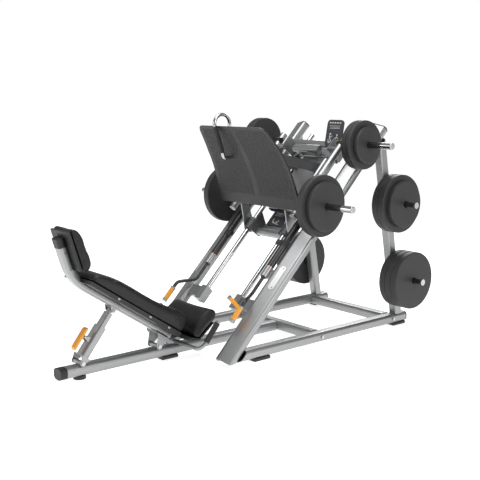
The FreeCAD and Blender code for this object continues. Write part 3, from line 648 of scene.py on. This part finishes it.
for side, tag in ((-1, "left"), (1, "right")):
    body = tag + "_stop"
    grip_top = rail_point(side * GRIP_X, GRIP_TOP_S, GRIP_N)
    grip_end = rail_point(side * GRIP_X, GRIP_END_S, GRIP_N)
    ring(tag + "_grip_collar", grip_top - UP_RAIL * 0.014, UP_RAIL, soft_ring(15, 20.2),
         PAINT["silver_paint"], body, "silver_paint")
    ring(tag + "_grip_plug", grip_end, UP_RAIL, soft_ring(20, 20.2, 2.0),
         PAINT["silver_paint"], body, "silver_paint")
    ring(tag + "_sleeve_ring", rail_point(side * STOP_X, SLEEVE_RING_S, STOP_N), UP_RAIL,
         soft_ring(4.8, 28.8, 0.6), COPPER, body, "chrome")
    for k, s in enumerate(LUG_S):
        ring(tag + "_lug_collar_" + str(k), rail_point(side * STOP_X, s - 26, STOP_N), UP_RAIL,
             soft_ring(52, 30.4, 3.0), PAINT["black_plastic"], body, "black_plastic")
    ring(tag + "_sleeve_end", rail_point(side * STOP_X, SLEEVE_END_S, STOP_N), UP_RAIL,
         soft_ring(14, 29.2, 1.5), PAINT["black_plastic"], body, "black_plastic")
peg_base = rail_point(GRIP_X, 66, GRIP_N)
peg_end = rail_point(330, 96, 560)
peg_axis = (peg_end - peg_base).normalized()
ring("right_peg_plug", peg_end - peg_axis * 0.020, peg_axis, soft_ring(21, 16.2, 2.0),
     PAINT["silver_paint"], "right_stop", "silver_paint")

# Screws and recessed bolts.
for k, t in enumerate((198, 82)):
    for side in (-1, 1):
        place = SEAT_BEND + HEAD_UP * t * MM + X * side * 0.0436
        tag = "left" if side < 0 else "right"
        ring("tube_bolt_" + tag + "_" + str(k), place, X * side,
             [(0, 8.0), (0.9, 8.0), (0.9, 5.6), (0.3, 5.2)],
             PAINT["black_plastic"], "seat", "black_plastic", 24)
for k, x in enumerate((-22, 22)):
    place = Vector((x * MM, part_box("frame_end_caps")[0][1] + 0.0012, 0.060))
    ring("front_cap_screw_" + str(k), place, Y, [(0, 3.6), (0.3, 5.6), (2.4, 5.6)],
         PAINT["black_paint"], "frame", "black_paint", 20)
badge_low, badge_high = (Vector(c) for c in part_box("badge_plates"))

# Blank badge screws.
badge_cover = surface_of(frame["nodes"]["badge_plates"])
for side, tag in ((-1, "left"), (1, "right")):
    badge_mid = (badge_low + badge_high) / 2
    probe = Vector((side * 1.0, badge_mid.y, badge_mid.z))
    place, facing = on_surface(badge_cover, probe, X * -side)
    if place is not None:
        for k in (-1, 1):
            start = place + UP_RAIL * k * 0.084 + facing * 0.05
            spot, face_dir = on_surface(badge_cover, start, -facing)
            if spot is not None:
                ring("badge_screw_" + tag + "_" + str(k + 1), spot - face_dir * 0.0005, face_dir,
                     [(0, 5.2), (1.6, 5.2), (2.4, 3.4)],
                     PAINT["graphite_paint"], "frame", "graphite_paint", 20)

# Clips that hold the back cushion to its tray.
for side, tag in ((-1, "left"), (1, "right")):
    for k, t in enumerate((150, 330, 620)):
        centre = SEAT_LOW + BACK_UP * t * MM + BACK_OUT * 0.028 + X * side * 0.1735
        name = "tray_clip_" + tag + "_" + str(k)
        mesh = mesh_of(name, lambda bm: slab(bm, centre, BACK_UP, BACK_OUT, X * side,
                                             0.020, 0.011, 0.002, 0.003))
        piece(name, mesh, PAINT["silver_paint"], "seat", False)

# Release lever pivot screws.
strut_foot = mm(0, -1333, 112)
strut_dir = (mm(0, -1083, 425) - strut_foot).normalized()
strut_out = Vector((0, -strut_dir.z, strut_dir.y))
for side, tag in ((-1, "left"), (1, "right")):
    place = strut_foot + strut_dir * 0.155 + strut_out * 0.074 + X * side * 0.030
    ring("lever_screw_" + tag, place, X * side, [(0, 7.0), (2.6, 7.0), (4.0, 5.0)],
         PAINT["chrome"], "strut_outer", "chrome", 20)

# ---------------------------------------------------------------- sign graphics without lettering


def mark(name, centre, u, v, n, shapes, material, body):
    """Thin printed bars: (across, up, wide, tall, turn in degrees)."""
    def build(bm):
        for a, b, wide, tall, turn in shapes:
            c, d = math.cos(math.radians(turn)), math.sin(math.radians(turn))
            slab(bm, centre + (u * a + v * b) * MM, u * c + v * d, v * c - u * d, n,
                 wide * MM, tall * MM, 0.0006, min(wide, tall) * 0.35 * MM, 3)
    piece(name, mesh_of(name, build), material, body, False)


TILT = math.radians(11)
board_up = Vector((0, math.sin(TILT), math.cos(TILT)))
board_out = Vector((0, -math.cos(TILT), math.sin(TILT)))
board_mid = mm(151, 896, 1547) + board_out * 0.0129
title = [(-52 + 26 * i, 84, 18, 9, 0) for i in range(5)]
rules = [(0, 60, 116, 2.4, 0), (0, 50, 100, 2.4, 0), (0, 40, 108, 2.4, 0)]
figure = [(-38, -4, 15, 15, 0), (-40, -34, 9, 36, 12), (-30, -62, 8, 32, -32),
          (-50, -62, 8, 32, 20),
          (-28, -26, 30, 6, 28), (34, -12, 13, 13, 0), (28, -36, 9, 30, -24),
          (44, -58, 30, 7, 34), (24, -76, 34, 6, -8)]
mark("placard_lines", board_mid, X, board_up, board_out, title + rules + figure, WHITE_INK, "frame")
mark("placard_accents", board_mid + board_out * 0.0002, X, board_up, board_out,
     [(-36, -44, 11, 11, 0), (44, -34, 24, 5, -40), (18, -54, 10, 10, 0)], ORANGE_INK, "frame")
panel_mid = rail_point(0, 979, 273.9)
panel_lines = []
for block in (-68, 68):
    panel_lines += [(block, 62 - 9 * i, 104 - 12 * (i % 3), 2.6, 0) for i in range(5)]
    panel_lines += [(block - 30, -12, 13, 13, 0), (block - 24, -34, 9, 30, 18),
                    (block - 2, -46, 36, 7, -10),
                    (block + 24, -32, 7, 34, -24), (block + 34, -54, 26, 5, 0)]
mark("panel_lines", panel_mid, X, UP_RAIL, OFF_RAIL, panel_lines, WHITE_INK, "carriage")
mark("panel_accents", panel_mid + OFF_RAIL * 0.0002, X, UP_RAIL, OFF_RAIL,
     [(-98, -30, 10, 10, 0), (-58, -32, 10, 10, 0), (72, -24, 24, 6, 45), (90, -24, 24, 6, -45)],
     ORANGE_INK, "carriage")

# ---------------------------------------------------------------- camera, light, floor

camera = bpy.data.objects.new("camera", bpy.data.cameras.new("camera"))
bpy.context.scene.collection.objects.link(camera)
camera.location = (4.7498, -3.9353, 1.8126)
camera.rotation_euler = (math.radians(90 - 9.5), 0, math.radians(50))
camera.data.lens = 63.0
camera.data.sensor_width = 36.0
bpy.context.scene.camera = camera


def lamp(name, place, aim, size, power):
    data = bpy.data.lights.new(name, "AREA")
    data.shape = "RECTANGLE"
    data.size, data.size_y = size
    data.energy = power
    made = bpy.data.objects.new(name, data)
    bpy.context.scene.collection.objects.link(made)
    made.location = place
    made.rotation_euler = (Vector(aim) - Vector(place)).to_track_quat("-Z", "Y").to_euler()


lamp("overhead", (0.5, -0.5, 4.6), (0, 0, 0.6), (3.0, 3.0), 130)
lamp("front_left", (-3.0, -5.0, 2.6), (0, -0.2, 0.7), (2.4, 2.0), 60)
lamp("right", (5.5, 0.6, 2.6), (0, 0.2, 0.8), (2.4, 2.0), 70)
lamp("back_rim", (-3.0, 4.5, 3.2), (0, 0, 0.9), (2.4, 1.6), 90)
world = bpy.data.worlds.new("studio")
bpy.context.scene.world = world
world.use_nodes = True
sky = world.node_tree.nodes["Background"]
seen = world.node_tree.nodes.new("ShaderNodeLightPath")
tone = world.node_tree.nodes.new("ShaderNodeMapRange")
world.node_tree.links.new(seen.outputs["Is Camera Ray"], tone.inputs["Value"])
tone.inputs["To Min"].default_value = 0.34
tone.inputs["To Max"].default_value = 1.0
world.node_tree.links.new(tone.outputs[0], sky.inputs["Strength"])
sky.inputs["Color"].default_value = (1.0, 1.0, 1.0, 1.0)
bpy.context.scene.view_settings.view_transform = "Standard"

floor_mesh = mesh_of("floor", lambda bm: slab(bm, Vector((0, 0, -0.02)), X, Y, Z, 60, 60, 0.019))
floor = bpy.data.objects.new("floor", floor_mesh)
bpy.context.scene.collection.objects.link(floor)
floor_finish = Finish("studio_floor", (0.90, 0.90, 0.90), 0.7,
                      Emission_Color=(1.0, 1.0, 1.0, 1.0), Emission_Strength=0.74)
floor_finish.tint(floor_finish.noise(0.8, 2.0), 0.995, 1.005)
floor_mesh.materials.append(floor_finish.material)
